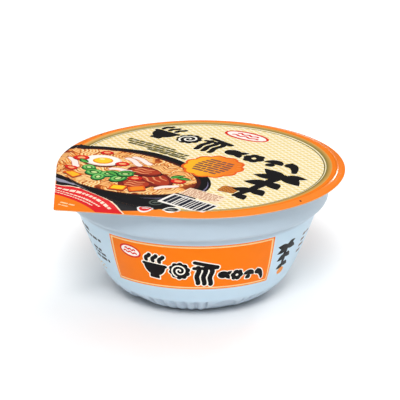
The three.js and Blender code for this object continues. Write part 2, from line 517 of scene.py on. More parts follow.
# The layers of round toppings, from the shadow up: shift across and up, shares of the topping's two
# radii, points round, and ink
ONION_RINGS = (
    (-37, -42, 5.0, 4.2), (-29, -39, 5.6, 4.6), (-21, -42, 5.0, 4.0), (-31, -46, 4.6, 3.6),
    (-44, -38, 4.2, 3.4), (-22, -35, 4.4, 3.4),
)
ONION_LAYERS = (
    (0.6, -0.9, 1.06, 1.06, 20, srgb(24, 50, 18)),
    (0, 0, 1.0, 1.0, 20, srgb(30, 134, 62)),
    (-0.3, 0.3, 0.8, 0.78, 20, srgb(128, 200, 104)),
    (0, 0, 0.56, 0.5, 16, srgb(46, 110, 44)),
    (0, 0, 0.36, 0.3, 12, srgb(206, 230, 150)),
)
EGG_CENTRE = (-45, -26)
EGG_LAYERS = (
    (0.9, -1.5, 11.2, 8.2, 32, srgb(110, 40, 18)),
    (0, 0, 10.8, 7.8, 32, srgb(238, 222, 206)),
    (-0.5, 0.5, 9.9, 6.9, 32, srgb(255, 250, 240)),
    (0.6, -0.3, 5.6, 4.7, 32, srgb(238, 150, 26)),
    (0.2, 0.2, 4.7, 3.8, 32, srgb(252, 204, 44)),
    (-1.3, 1.3, 1.6, 1.0, 12, srgb(255, 240, 150)),
)
PEPPER_RINGS = (
    (-57, -29, 3.6), (-33, -24, 3.2), (-51, -15, 3.0), (6, -27, 3.4), (-51, -44, 3.0), (-14, -37, 3.2),
)
PEPPER_LAYERS = (
    (0.3, -0.5, 1.25, 1.05, 18, srgb(130, 14, 12)),
    (0, 0, 1.15, 0.94, 18, srgb(222, 32, 24)),
    (0, 0, 0.62, 0.42, 14, srgb(250, 170, 110)),
)

# Slices of meat: middle, radii and turn. Their layers: shift, shares of the radii, unevenness and ink
MEAT_SLICES = (((-5, -32), (11.5, 8.0), -24), ((-17, -26), (10.0, 6.2), 10), ((-9, -43), (9.0, 6.0), 16))
MEAT_LAYERS = (
    ((0.8, -1.2), (1.0, 1.0), 0.08, srgb(54, 14, 10)),
    ((0, 0), (1.0, 1.0), 0.08, srgb(124, 30, 22)),
    ((0.3, 0.3), (0.8, 0.74), 0.1, srgb(178, 58, 32)),
)
FAT_INK = srgb(236, 150, 98)

# Pale strips from end to end, and square pieces by middle, turn and ink
STRIPS = (
    ((-36, -16), (-24, -20)), ((-34, -12.5), (-21, -15.5)), ((-60, -34), (-50, -40)),
    ((-33, -33), (-23, -30)), ((4, -42), (9, -33)),
)
STRIP_LAYERS = ((4.0, srgb(196, 112, 84)), (3.2, srgb(255, 236, 226)))
SQUARES = (
    (-13, -52, 18, srgb(252, 208, 36)), (-4, -48, 48, srgb(244, 140, 28)),
    (-44, -51, -12, srgb(250, 190, 36)),
)
SQUARE_SHADOW = srgb(126, 38, 14)
SQUARE_SIDE = srgb(234, 92, 28)
# Green leaves: root, length and turn. Their layers: share of the length, width and ink
LEAVES = (
    (-33, -37, 11, -16), (-27, -35, 10, 30), (-49, -33, 8, 160), (0, -26, 9, 60), (3, -24, 8, 15),
    (-38, -38, 9, 205),
)
LEAF_LAYERS = ((1.0, 4.4, srgb(22, 92, 38)), (0.9, 2.0, srgb(84, 170, 70)))


def soup_ink(p):
    """The broth between the noodles, darker towards the dish."""
    across = Vector(((p.x - SOUP_CENTRE.x) / SOUP_RADII[0], (p.y - SOUP_CENTRE.y) / SOUP_RADII[1]))
    return mixed(*SOUP_INKS, smoothstep(0.78, 1.0, across.length))


def draw_noodles(page, soup, draws):
    """Bundles of wavy strands, with a dark edge round each bundle and a pale line along each strand."""
    edge, thick, fine = STRAND_WIDTHS
    for _ in range(BUNDLES):
        reach = math.sqrt(draws.random()) * 0.97
        around = math.radians(draws.uniform(0, 360))
        spot = (SOUP_RADII[0] * reach * math.cos(around), SOUP_RADII[1] * reach * math.sin(around))
        turn = draws.uniform(0, 180)
        length = draws.uniform(*BUNDLE_LENGTHS)
        swing = draws.uniform(0.6, 1.3)
        warm = draws.random()
        shade, body, light = (mixed(*inks, warm) for inks in (STRAND_SHADE, STRAND_BODY, STRAND_LIGHT))
        for strand in range(STRANDS):
            aside = polar(turn + 90, STRAND_PITCH * (strand - (STRANDS - 1) / 2))
            start = SOUP_CENTRE + Vector(spot) + aside - polar(turn, length / 2)
            path = wave(start, start + polar(turn, length), length / STRAND_WAVE, swing, 4, phase=warm * 6)
            if strand in (0, STRANDS - 1):
                page.area(ribbon(path, edge, 2), shade, soup)
            page.area(ribbon(path, thick, 2), body, soup)
            page.area(ribbon([p + Vector((0.1, 0.2)) for p in path[1:-1]], fine, 1), light, soup)


def draw_layers(page, at, radii, turn, layers, soup):
    """Ellipses over each other, each one shifted and sized from those that a topping is given by."""
    for across, up, wide, high, steps, ink in layers:
        centre = (at[0] + across, at[1] + up)
        page.area(ellipse(centre, (radii[0] * wide, radii[1] * high), turn, steps), ink, soup)


def draw_meat(page, soup, draws):
    """Three dark red slices with lighter fat lines."""
    for at, radii, turn in MEAT_SLICES:
        for shift, (wide, high), wobble, ink in MEAT_LAYERS:
            middle = Vector(at) + Vector(shift)
            page.area(ellipse(middle, (radii[0] * wide, radii[1] * high), turn, 28, wobble, draws), ink, soup)
        for step in (-0.45, 0.0, 0.45):
            centre = Vector(at) + polar(turn + 90, radii[1] * step)
            ends = (centre - polar(turn, radii[0] * 0.5), centre + polar(turn, radii[0] * 0.42))
            page.area(ribbon(wave(*ends, 1.2, 0.5), tapered(1.1, 0.5)), FAT_INK, soup)


def draw_garnish(page, soup):
    """Pale strips, red pepper rings, yellow squares and green leaves."""
    for start, end in STRIPS:
        for width, ink in STRIP_LAYERS:
            page.area(ribbon(wave(start, end, 0.8, 0.7), width), ink, soup)
    for x, y, radius in PEPPER_RINGS:
        draw_layers(page, (x, y), (radius, radius), 20, PEPPER_LAYERS, soup)
    for x, y, turn, ink in SQUARES:
        page.area(box((x + 0.6, y - 1.0), (8.8, 6.8), 0.9, turn), SQUARE_SHADOW, soup)
        page.area(box((x, y), (8.6, 6.6), 0.9, turn), SQUARE_SIDE, soup)
        page.area(box((x, y + 0.2), (6.6, 4.6), 0.7, turn), ink, soup)
    for x, y, length, turn in LEAVES:
        for share, width, ink in LEAF_LAYERS:
            page.area(leaf((x, y), length * share, width, turn, 0.6), ink, soup)


def draw_dish(page, draws):
    """A black dish of noodles in broth, with its toppings."""
    clip = page.area(placed(lid_outline(), DISH_ASIDE, size=DISH_MARGIN), None)
    page.area(ellipse(*DISH_WALL, steps=72), srgb(12, 10, 15), inside=clip)
    page.area(ellipse(DISH_CENTRE, DISH_RADII, steps=96), BLACK)
    page.area(sector((0, 0), 60, LID_RADIUS + 0.5, 194, 222, 30), BLACK)
    for radii, ends, steps, width, ink in DISH_SHINES:
        turns = np.linspace(*ends, steps)
        path = [DISH_CENTRE + Vector((radii[0] * math.cos(a), radii[1] * math.sin(a))) for a in turns]
        page.area(ribbon(path, lambda share, width=width: width * math.sin(math.pi * share) + 0.1), ink)
    page.area(ellipse(*SOUP_EDGE, steps=96), srgb(70, 18, 12))
    soup = page.area(ellipse(SOUP_CENTRE, SOUP_RADII, steps=96), soup_ink)
    draw_noodles(page, soup, draws)
    draw_meat(page, soup, draws)
    draw_layers(page, EGG_CENTRE, (1, 1), 10, EGG_LAYERS, soup)
    for i, (x, y, wide, high) in enumerate(ONION_RINGS):
        draw_layers(page, (x, y), (wide, high), 40 * i, ONION_LAYERS, soup)
    draw_garnish(page, soup)


# The rest of the lid's print

BANNER_CENTRE = Vector((-28, -140))  # the middle of the arcs that the banner follows
BANNER_INNER = 62.2
BANNER_OUTER = 73.6
BANNER_RED = srgb(224, 30, 36)
BANNER_LINE = srgb(255, 226, 196)
BANNER_BARS = srgb(255, 222, 200)
# Rows of bars on the banner: radius, height, and the angles where they start and end
BANNER_ROWS = ((70.3, 1.6, 111, 64), (67.2, 1.0, 108, 68), (65.0, 0.8, 106, 72))

PLAQUE_CENTRE = Vector((7.0, 1.4))
PLAQUE_RADII = (16.8, 15.4)
PLAQUE_EDGE = srgb(234, 96, 28)
PLAQUE_INKS = (srgb(253, 184, 36), srgb(240, 116, 34))
PLAQUE_BARS = srgb(136, 84, 66)

TEXT_PANEL = ((28.3, -35.5), (23.5, 10))
TEXT_START = (17.4, -31.6)
STRIPE_PANEL = ((29.0, -48.8), (28, 13.5))
STRIPES = (16.6, 40.8)  # where the stripes start and end across the panel
STRIPE_WIDTHS = (0.8, 1.2, 1.8, 2.4)
STRIPE_GAPS = (0.4, 0.6, 0.8)

FINE_PRINT = ((-57, -24), (-56, -13), (-53, -12), (-38, -11))  # where each row starts and ends
FINE_PRINT_TOP = 10.8
FINE_PRINT_INK = srgb(98, 92, 52)
CAKE_CENTRE = (33.1, -20.9)
CAKE_INKS = (srgb(150, 80, 26), srgb(208, 130, 52), srgb(142, 78, 34))
# Round marks: middle, radius, and the inks of ring and middle
ROUND_MARKS = (
    (17.4, -67.7, 4.0, srgb(236, 232, 228), srgb(216, 40, 36)),
    (28.3, -61.0, 4.6, srgb(240, 238, 230), BLACK),
    (15.6, -57.0, 3.6, srgb(84, 92, 84), srgb(22, 28, 26)),
)
TAB_BARS = ((-22.4, -84.2, 8.5, 1.3), (-21.4, -87.0, 6.5, 1.0))  # start, length and height
TAB_INK = srgb(255, 214, 160)
REGISTER_DOTS = (45, 232)  # headings of the two small dots on the orange edge


def draw_banner(page, draws):
    """A red band across the tab, with rows of cream bars that follow its curve."""
    page.area(sector(BANNER_CENTRE, 40, BANNER_INNER + 0.1, 40, 130, 60), ORANGE)
    page.area(sector(BANNER_CENTRE, BANNER_INNER, BANNER_OUTER + 0.7, 45, 125, 60), BANNER_LINE)
    page.area(sector(BANNER_CENTRE, BANNER_INNER, BANNER_OUTER, 45, 125, 60), BANNER_RED)
    for radius, height, start, end in BANNER_ROWS:
        angle = start
        while angle > end:
            step = math.degrees(height * draws.uniform(1.0, 2.6) / radius)
            low, high = radius - height / 2, radius + height / 2
            page.area(sector(BANNER_CENTRE, low, high, angle - step, angle, 3), BANNER_BARS)
            angle -= step + math.degrees(height * 0.5 / radius)


def plaque_ink(p):
    """Yellow at the plaque's left, orange at its right."""
    place = p - PLAQUE_CENTRE
    return mixed(*PLAQUE_INKS, smoothstep(-15, 12, place.x + 0.6 * place.y) * 0.9)


def draw_plaque(page, draws):
    """A lobed amber plaque with rows of bars."""
    for radius, ink in zip(PLAQUE_RADII, (PLAQUE_EDGE, plaque_ink)):
        page.area(lobed(PLAQUE_CENTRE, radius, 11, 1.5), ink)
    for row in range(7):
        width = 19.5 - 0.8 * abs(row - 3) ** 1.6
        start = PLAQUE_CENTRE + Vector((-width / 2, 2.7 * (3 - row)))
        draw_bars(page, start, 0, width, 1.75, PLAQUE_BARS, draws, 0.35)


def draw_codes(page, draws):
    """A tan panel of fine lines, and a white panel of dark stripes of uneven width."""
    page.area(box(*TEXT_PANEL), srgb(252, 228, 196))
    for row in range(6):
        start = (TEXT_START[0], TEXT_START[1] - 1.55 * row)
        draw_bars(page, start, 0, 21.6 - (row % 3) * 1.6, 0.8, srgb(184, 104, 72), draws, 0.6)
    page.area(box(*STRIPE_PANEL), srgb(246, 240, 232))
    across, end = STRIPES
    while across < end:
        stripe = draws.choice(STRIPE_WIDTHS)
        page.area(box((across + stripe / 2, -48.6), (stripe, 10.6)), srgb(34, 38, 52))
        across += stripe + draws.choice(STRIPE_GAPS)


def draw_cake(page):
    """A small block of dried noodles."""
    shadow, body, line = CAKE_INKS
    x, y = CAKE_CENTRE
    page.area(box((x + 0.1, y - 0.2), (9.8, 8.4), 1.6, 8), shadow)
    page.area(box(CAKE_CENTRE, (8.6, 7.2), 1.2, 8), body)
    for row in range(4):
        path = wave((x - 3.1, y - 2.7 + 1.8 * row), (x + 3.9, y - 1.7 + 1.8 * row), 3, 0.5)
        page.area(ribbon(path, 0.6), line)


def draw_marks(page, draws):
    """Small things: grey green fine print, a noodle cake, three round marks and two register dots."""
    for row, (start, end) in enumerate(FINE_PRINT):
        place = (start, FINE_PRINT_TOP - 2.7 * row)
        draw_bars(page, place, -2, end - start, 2.0, FINE_PRINT_INK, draws, 0.2)
    draw_cake(page)
    for x, y, radius, ring, middle in ROUND_MARKS:
        page.area(disc((x, y), radius), ring)
        page.area(disc((x, y), radius * 0.76), middle)
        page.area(leaf((x - radius * 0.5, y - radius * 0.3), radius * 1.1, radius * 0.5, 30), ring)
    for x, y, length, height in TAB_BARS:
        draw_bars(page, (x, y), 4, length, height, TAB_INK, draws)
    for angle in REGISTER_DOTS:
        page.area(disc(page.turned.inverted() @ heading(angle, 72.6), 0.6, 12), BLACK)


def lid_page():
    """Everything that is printed on the lid, and the lines that its relief needs."""
    draws = random.Random(4)
    page = Artwork(PAGE_TURN)
    draw_ground(page)
    draw_dish(page, draws)
    draw_banner(page, draws)
    draw_marks(page, draws)
    draw_title(page, at=(-46.4, 29.8), turn=-3, pitch=16.8, size=1.2, margin=0.0)
    draw_row(page, at=(4.0, 25.0), turn=-2, pitch=12.6, size=1.34, margin=0.0, paper=CREAM)
    draw_sprig(page, at=(42.4, -6), turn=-3, size=1.24)
    draw_badge(page, at=(-7.4, 51.9), radii=(14.2, 6.4), turn=0)
    draw_plaque(page, draws)
    draw_codes(page, draws)
    draw_relief_lines(page)
    return page


# The lid's form


def lid_outline():
    """The lid's edge on its page: a circle, and a tab whose tip is a little round."""
    away = TAB_HALF_ANGLE
    tip = heading(TAB_DIRECTION, (LID_RADIUS - TAB_ROUND) / math.cos(math.radians(away)))
    round_part = np.linspace(away, 360 - away, 240)
    tip_part = np.linspace(-away, away, 9)
    outline = [heading(TAB_DIRECTION + angle, LID_RADIUS) for angle in round_part]
    outline += [tip + heading(TAB_DIRECTION + angle, TAB_ROUND) for angle in tip_part]
    return placed(outline, turn=-PAGE_TURN)


def draw_relief_lines(page):
    """Rings that cut the sheet finely where it is bent, also out on the tab."""
    panel_and_tab = [*range(6, 62, 6), *range(76, 94, 2)]
    seal = np.arange(SEAL_FOOT_RADIUS, SEAL_TOP_RADIUS + 0.1, 0.4)
    bead = [BEAD_RADIUS + 0.25 * n for n in range(-4, 5)] + [72.8, 73.9]
    for radii, middle, steps, turn in (
        (panel_and_tab, (0, 0), 120, 1), (seal, BOWL_ASIDE, 180, 1), (bead, (0, 0), 240, 0.5),
    ):
        for radius in radii:
            page.line(placed(disc((0, 0), radius, steps), middle, turn), closed=True)


def lid_height(x, y, settings):
    """Height of the lid's upper face at a place counted from the lid's centre."""
    radius = math.hypot(x, y)
    from_axis = math.hypot(x - BOWL_ASIDE.x, y - BOWL_ASIDE.y)
    relief = SEAL_RISE * smoothstep(SEAL_FOOT_RADIUS, SEAL_TOP_RADIUS, from_axis)
    relief -= EDGE_DROOP * smoothstep(SEAL_EDGE_RADIUS, LID_RADIUS, min(radius, from_axis))
    relief += settings.bead / MM * math.exp(-(((radius - BEAD_RADIUS) / BEAD_WIDTH) ** 2))
    on_panel = 1 - smoothstep(*SWELL_FADE, radius)
    on_edge = LOOSE_SHARE * smoothstep(*LOOSE_EDGE, radius)
    swell = noise.noise(Vector((x / SWELL_LENGTH, y / SWELL_LENGTH, SWELL_LAYER)))
    return PANEL_TOP + relief + settings.swell / MM * swell * (on_panel + on_edge)


def lid_normal(x, y, settings):
    """The upper face's direction, from its height on both sides of the point."""
    step = 0.05
    slope_x = (lid_height(x + step, y, settings) - lid_height(x - step, y, settings)) / (2 * step)
    slope_y = (lid_height(x, y + step, settings) - lid_height(x, y - step, settings)) / (2 * step)
    return Vector((-slope_x, -slope_y, 1)).normalized()


def open_edges(triangles):
    """The edges that only one triangle has, in its own direction."""
    edges = [edge for corners in triangles for edge in zip(corners, (*corners[1:], corners[0]))]
    known = set(edges)
    return [(a, b) for a, b in edges if (b, a) not in known]


def once_round(edges):
    """The points of a closed row of edges, in order."""
    following = dict(edges)
    order = [edges[0][0]]
    while following[order[-1]] != order[0]:
        order.append(following[order[-1]])
    return order


def lid_mesh(settings):
    """The lid as one closed sheet: printed above, paper at its edge and foil below."""
    page = lid_page()
    points, cells = page.cut()
    thickness = settings.thickness / MM
    bm = bmesh.new()
    inks = bm.loops.layers.float_color.new("ink")
    above = [bm.verts.new((p.x, p.y, lid_height(p.x, p.y, settings))) for p in points]
    for corners, shape in cells:
        face = bm.faces.new([above[i] for i in corners])
        for loop, i in zip(face.loops, corners):
            loop[inks] = page.colour(shape, points[i])
    edges = open_edges([corners for corners, _ in cells])
    below = {i: bm.verts.new(above[i].co - Vector((0, 0, thickness))) for edge in edges for i in edge}
    for a, b in edges:
        bm.faces.new((above[b], above[a], below[a], below[b])).material_index = 1
    back = Artwork()
    back.area([points[i] for i in once_round(edges)], BLACK)
    draw_relief_lines(back)
    points, cells = back.cut()
    under = [bm.verts.new((p.x, p.y, lid_height(p.x, p.y, settings) - thickness)) for p in points]
    for corners, _ in cells:
        bm.faces.new([under[i] for i in reversed(corners)]).material_index = 2
    bmesh.ops.remove_doubles(bm, verts=bm.verts, dist=1e-4)
    return closed_mesh("lid_sheet", bm)


def closed_mesh(name, bm):
    """A smooth mesh from an edited one, once every edge has two faces."""
    loose = [v for v in bm.verts if not v.link_faces]
    bmesh.ops.delete(bm, geom=loose, context="VERTS")
    open_count = sum(1 for edge in bm.edges if len(edge.link_faces) != 2)
    if open_count:
        raise RuntimeError(f"{name} has {open_count} edges without two faces")
    mesh = bpy.data.meshes.new(name)
    bm.to_mesh(mesh)
    bm.free()
    mesh.polygons.foreach_set("use_smooth", [True] * len(mesh.polygons))
    return mesh


def shade_lid(mesh, settings):
    """Gives each corner the direction of the face that it lies on, so that the cuts don't show."""
    known = {}
    normals = []
    for polygon in mesh.polygons:
        for index in polygon.vertices:
            place = mesh.vertices[index].co
            if polygon.material_index == 1:
                normals.append(Vector((place.x, place.y, 0)).normalized())
                continue
            if index not in known:
                known[index] = lid_normal(place.x, place.y, settings)
            normals.append(known[index] if polygon.material_index == 0 else -known[index])
    mesh.normals_split_custom_set(normals)


# The bowl's form


def bezier(points, steps):
    """Points along a Bezier curve, with both ends."""
    made = []
    for share in np.linspace(0, 1, steps + 1):
        level = [Vector(p) for p in points]
        while len(level) > 1:
            level = [a.lerp(b, share) for a, b in zip(level, level[1:])]
        made.append(level[0])
    return made


def rounded(corners, steps):
    """A profile through corners given as radius, height and how far from the corner its round starts."""
    made = []
    for i, (radius, height, reach) in enumerate(corners):
        here = Vector((radius, height))
        if not reach:
            made.append(here)
            continue
        before, after = Vector(corners[i - 1][:2]), Vector(corners[i + 1][:2])
        start = here + (before - here).normalized() * reach
        end = here + (after - here).normalized() * reach
        made += bezier((start, here, end), steps)
    return made


SKIRT = ((FOOT_OUTER, 0), (FOOT_OUTER + SKIRT_BELLY[0], SKIRT_BELLY[1]), (SKIRT_TOP_RADIUS, SKIRT_TOP))
WALL = (
    (SKIRT_TOP_RADIUS, SKIRT_TOP), (SKIRT_TOP_RADIUS + WALL_ROUND[0], SKIRT_TOP + WALL_ROUND[1]),
    (WALL_TOP_RADIUS - WALL_LEAN[0], WALL_TOP - WALL_LEAN[1]), (WALL_TOP_RADIUS, WALL_TOP),
)
WALL_LINE = np.array(bezier(WALL, 400))


def wall_radius(height):
    return float(np.interp(height, WALL_LINE[:, 1], WALL_LINE[:, 0]))


def wall_normal(x, y, height):
    """The wall's direction at a point, from its slope there."""
    step = 0.2
    slope = (wall_radius(height + step) - wall_radius(height - step)) / (2 * step)
    return Vector((x, y, -slope * math.hypot(x, y))).normalized()


def cut_depth(depths, end, share):
    """Depth of an upright cut at a share of the skirt's height."""
    low, high = depths
    return (low + (high - low) * share) * (1 - smoothstep(end, end + LEDGE, share))


def foot_relief(angle, share):
    """How deep the foot's relief cuts in, at an angle and at a share of the skirt's height."""
    turned = (angle - ARCH_MIDDLE + ARCH_WIDTH / 2) % PERIOD
    if turned < ARCH_WIDTH:
        across = turned / ARCH_WIDTH * 2 - 1
        return cut_depth(ARCH_DEPTHS, ARCH_END * math.sqrt(max(1 - across * across, 0)) - LEDGE, share)
    lobe = abs(math.sin(math.pi * (turned - ARCH_WIDTH) / LOBE_WIDTH))
    return cut_depth(GROOVE_DEPTHS, GROOVE_END, share) * (1 - lobe)


def foot_point(angle, radius, height):
    """A point of the foot's outside with its relief pressed in, level towards the axis."""
    place = heading(angle, radius - foot_relief(angle, height / SKIRT_TOP)).to_3d()
    place.z = height
    return place


def turned_rows(bm, rows):
    """Faces between rows of vertices that all go once round, outwards where the rows go up."""
    for low, high in zip(rows, rows[1:]):
        count = len(low)
        for i in range(count):
            j = (i + 1) % count
            bm.faces.new((low[i], low[j], high[j], high[i]))


def row_of(bm, columns, radius, height, shape=None):
    """One row of vertices round the bowl, from the seam on."""
    made = []
    for i in range(columns):
        angle = SEAM + 360 * i / columns
        flat = heading(angle, radius)
        made.append(bm.verts.new(shape(angle, radius, height) if shape else (flat.x, flat.y, height)))
    return made


def add_disc(bm, row, height, facing_up):
    """Closes a row of vertices with triangles to a point on the axis."""
    middle = bm.verts.new((0, 0, height))
    for a, b in zip(row, row[1:] + row[:1]):
        bm.faces.new((a, b, middle) if facing_up else (b, a, middle))


def add_foot(bm):
    """The recessed base with its two low rings, the foot that it stands on and the pressed skirt."""
    ring_foot = BASE_RECESS - BASE_RING_HEIGHT
    base = rounded(
        (
            (8, BASE_RECESS, 0), (9, ring_foot, 0.3), (10, BASE_RECESS, 0.3),
            (20, BASE_RECESS, 0.3), (21, ring_foot, 0.3), (22, BASE_RECESS, 0.3),
            (FOOT_INNER - 1.6, BASE_RECESS, 0.7), (FOOT_INNER, 0.0, 0.45), (FOOT_INNER + 2, 0.0, 0),
        ),
        3,
    )
    rows = [row_of(bm, FOOT_COLUMNS, p.x, p.y) for p in base]
    rows += [row_of(bm, FOOT_COLUMNS, p.x, p.y, foot_point) for p in bezier(SKIRT, SKIRT_ROWS)]
    add_disc(bm, rows[0], BASE_RECESS, False)
    turned_rows(bm, rows)


def add_collar(bm, rim_top):
    """From the wall's top up over the stepped collar and the rim, and across the mouth."""
    mouth = rim_top - SEAL_RISE
    collar = rounded(
        (
            (WALL_TOP_RADIUS, WALL_TOP, 0), (WALL_TOP_RADIUS + 0.1, COLLAR_BOTTOM, 0.35),
            (COLLAR_RADIUS + 0.2, COLLAR_BOTTOM + 0.4, 3.0), (RIM_RADIUS - 0.6, RIM_TOP - 3.1, 0.4),
            (RIM_RADIUS - 0.1, RIM_TOP - 2.3, 0.4), (RIM_RADIUS, RIM_TOP - 1.2, 0.4),
            (RIM_RADIUS, rim_top, 0.5), (SEAL_TOP_RADIUS, rim_top, 0.5),
            (SEAL_FOOT_RADIUS - 0.9, mouth, 0.5), (MOUTH_RADIUS, mouth, 0),
        ),
        5,
    )
    rows = [row_of(bm, RIM_COLUMNS, p.x, p.y) for p in collar]
    turned_rows(bm, rows)
    add_disc(bm, rows[-1], mouth, True)


# The bowl's print. Its page is the unrolled wall: degrees round the bowl across, millimetres of height up.

LABEL_MIDDLES = (0, 180)
LABEL_HALF_LOW = 44.6
LABEL_HALF_HIGH = 40.9
LABEL_LOW = 19.8
LABEL_HIGH = 47.3
LABEL_SAG = 1.2
LABEL_LAYERS = ((0.0, LABEL_ORANGE), (0.7, srgb(255, 214, 150)), (1.5, LABEL_ORANGE))

# Fine print left of the label: start from the label's middle, height, length and size of its bars
SIDE_BARS = (
    (-74, 41.6, 13, 2.3), (-73, 38.2, 22, 1.6), (-72, 31.0, 6, 2.1), (-63, 31.6, 9, 1.7),
    (-63, 29.4, 12, 1.4), (-63, 26.8, 14, 1.7),
)
SIDE_INK = srgb(40, 44, 52)
WAVE_INK = srgb(214, 176, 122)
SPOT_INK = srgb(246, 150, 50)
FAR_INK = srgb(110, 92, 84)


def label_outline(middle, inset):
    """The panel's outline, inset on every side. It is cut as a fan, so its corners hang lower."""
    low = np.linspace(-1, 1, 25) * (LABEL_HALF_LOW - inset)
    high = np.linspace(1, -1, 25) * (LABEL_HALF_HIGH - inset)
    base, top = LABEL_LOW + inset, LABEL_HIGH - inset
    below = [(middle + angle, base - LABEL_SAG * (angle / LABEL_HALF_LOW) ** 2) for angle in low]
    above = [(middle + angle, top - 0.4 * LABEL_SAG * (angle / LABEL_HALF_HIGH) ** 2) for angle in high]
    return below + above


def draw_label(page, middle):
    """The orange panel with its cream line, the badge and the main signs."""
    for inset, ink in LABEL_LAYERS:
        page.area(label_outline(middle, inset), ink)
    draw_badge(page, at=(middle - 30.2, 39.8), radii=(5.9, 3.9), turn=-8)
    draw_title(page, at=(middle - 18.2, 32.8), turn=-6, pitch=12.6, size=0.86, margin=0.6)
    draw_row(page, at=(middle + 16.8, 28.6), turn=-8, pitch=6.8, size=0.74, margin=0.5, paper=WARM_WHITE)


def draw_side_marks(page, middle, draws):
    """The marks beside the panel: bars of fine print on its left, a black sprig on its right."""
    for start, height, length, size in SIDE_BARS:
        draw_bars(page, (middle + start, height), 0, length, size, SIDE_INK, draws)
    for height in (18.6, 20.8):
        page.area(ribbon(wave((middle - 69, height), (middle - 58, height + 1.0), 2, 0.5), 0.6), WAVE_INK)
    draw_sprig(page, at=(middle + 52.4, 30.2), turn=6, size=0.56)
    page.area(ellipse((middle + 54.0, 21.8), (2.6, 2.2), 0, 20), SPOT_INK)
    for row in range(4):
        draw_bars(page, (middle + 66, 39.0 - 3.4 * row), 0, 8 - row, 1.7, FAR_INK, draws)


def bowl_page():
    """Everything that is printed on the bowl's wall, and the grid that its roundness needs."""
    draws = random.Random(9)
    page = Artwork()
    heights = list(np.linspace(SKIRT_TOP, WALL_TOP, WALL_ROWS + 1))[1:-1]
    low = [(SEAM + 360 * i / FOOT_COLUMNS, SKIRT_TOP) for i in range(FOOT_COLUMNS + 1)]
    high = [(SEAM + 360 * i / RIM_COLUMNS, WALL_TOP) for i in range(RIM_COLUMNS + 1)]
    right = [(SEAM + 360, height) for height in heights]
    left = [(SEAM, height) for height in heights]
    for ink in (None, (1, 1, 1)):
        page.area(low + right + high[::-1] + left[::-1], ink)
    for height in heights:
        page.line([(SEAM, height), (SEAM + 360, height)])
    for i in range(2, RIM_COLUMNS, 2):
        page.line([(SEAM + i, SKIRT_TOP), (SEAM + i, WALL_TOP)])
    for middle in LABEL_MIDDLES:
        draw_label(page, middle)
        draw_side_marks(page, middle, draws)
    return page


def bowl_mesh(rim_top):
    """The bowl as one closed form, with its print cut into the wall."""
    page = bowl_page()
    points, cells = page.cut()
    bm = bmesh.new()
    inks = bm.loops.layers.float_color.new("ink")
    add_foot(bm)
    add_collar(bm, rim_top)
    wall = []
    for p in points:
        flat = heading(p.x, wall_radius(p.y))
        wall.append(bm.verts.new((flat.x, flat.y, p.y)))
    for corners, shape in cells:
        face = bm.faces.new([wall[i] for i in corners])
        face.material_index = 1 if shape > 1 else 0
        for loop, i in zip(face.loops, corners):
            loop[inks] = page.colour(shape, points[i])
    bmesh.ops.remove_doubles(bm, verts=bm.verts, dist=1e-3)
    return closed_mesh("bowl_shell", bm)


def shade_bowl(mesh):
    """Shades the wall by its true roundness, and leaves the rest to its own faces."""
    normals = [Vector(n.vector) for n in mesh.vertex_normals]
    for i, vertex in enumerate(mesh.vertices):
        x, y, z = vertex.co
        at_wall_height = SKIRT_TOP - 0.01 <= z <= WALL_TOP - 0.5
        if at_wall_height and abs(math.hypot(x, y) - wall_radius(z)) < 0.2:
            normals[i] = wall_normal(x, y, z)
    mesh.normals_split_custom_set_from_vertices(normals)


# Shader building

FOOT_SHADE_HEIGHTS = (0.012, 0.007)  # heights between which the plastic turns to the foot's painted shade, in metres
# heights between which the plastic turns to the collar's painted shade, which also covers the wall just under
# the collar's step, in metres
COLLAR_SHADE_HEIGHTS = (0.0470, 0.0486)


def add_node(tree, kind, inputs=(), **settings):
    """A node with its settings, and its inputs set to values or linked to sockets."""
    made = tree.nodes.new(kind)
    for name, value in settings.items():
        setattr(made, name, value)
    for key, value in dict(inputs).items():
        if isinstance(value, bpy.types.NodeSocket):
            tree.links.new(value, made.inputs[key])
        else:
            made.inputs[key].default_value = value
    return made


def calc(tree, operation, *values):
    """The result of a Math node."""
    return add_node(tree, "ShaderNodeMath", enumerate(values), operation=operation).outputs[0]


def blend(tree, share, first, second):
    """A colour between two colours."""
    inputs = {"Factor": share, 6: first, 7: second}
    return add_node(tree, "ShaderNodeMix", inputs, data_type="RGBA").outputs[2]


def spread(tree, value, low, high, start=0.0, end=1.0):
    """A value between start and end, spread between low and high."""
    inputs = {"Value": value, "From Min": start, "From Max": end, "To Min": low, "To Max": high}
    return add_node(tree, "ShaderNodeMapRange", inputs).outputs[0]


def cloud(tree, place, scale, detail, roughness=0.5):
    """Noise from 0 to 1 over the surface."""
    inputs = {"Vector": place, "Scale": scale, "Detail": detail, "Roughness": roughness}
    return add_node(tree, "ShaderNodeTexNoise", inputs).outputs["Fac"]


def brightened(tree, colour, value):
    """A colour made lighter or darker."""
    return add_node(tree, "ShaderNodeHueSaturation", {"Color": colour, "Value": value}).outputs[0]


def opaque(colour):
    return (*colour[:3], 1.0)


def new_group(name, inputs, outputs):
    """An empty node group with named sockets, each given as name and kind."""
    group = bpy.data.node_groups.new(name, "ShaderNodeTree")
    for label, kind in inputs:
        group.interface.new_socket(name=label, in_out="INPUT", socket_type=kind)
    for label, kind in outputs:
        group.interface.new_socket(name=label, in_out="OUTPUT", socket_type=kind)
    return group, group.nodes.new("NodeGroupInput").outputs, group.nodes.new("NodeGroupOutput").inputs


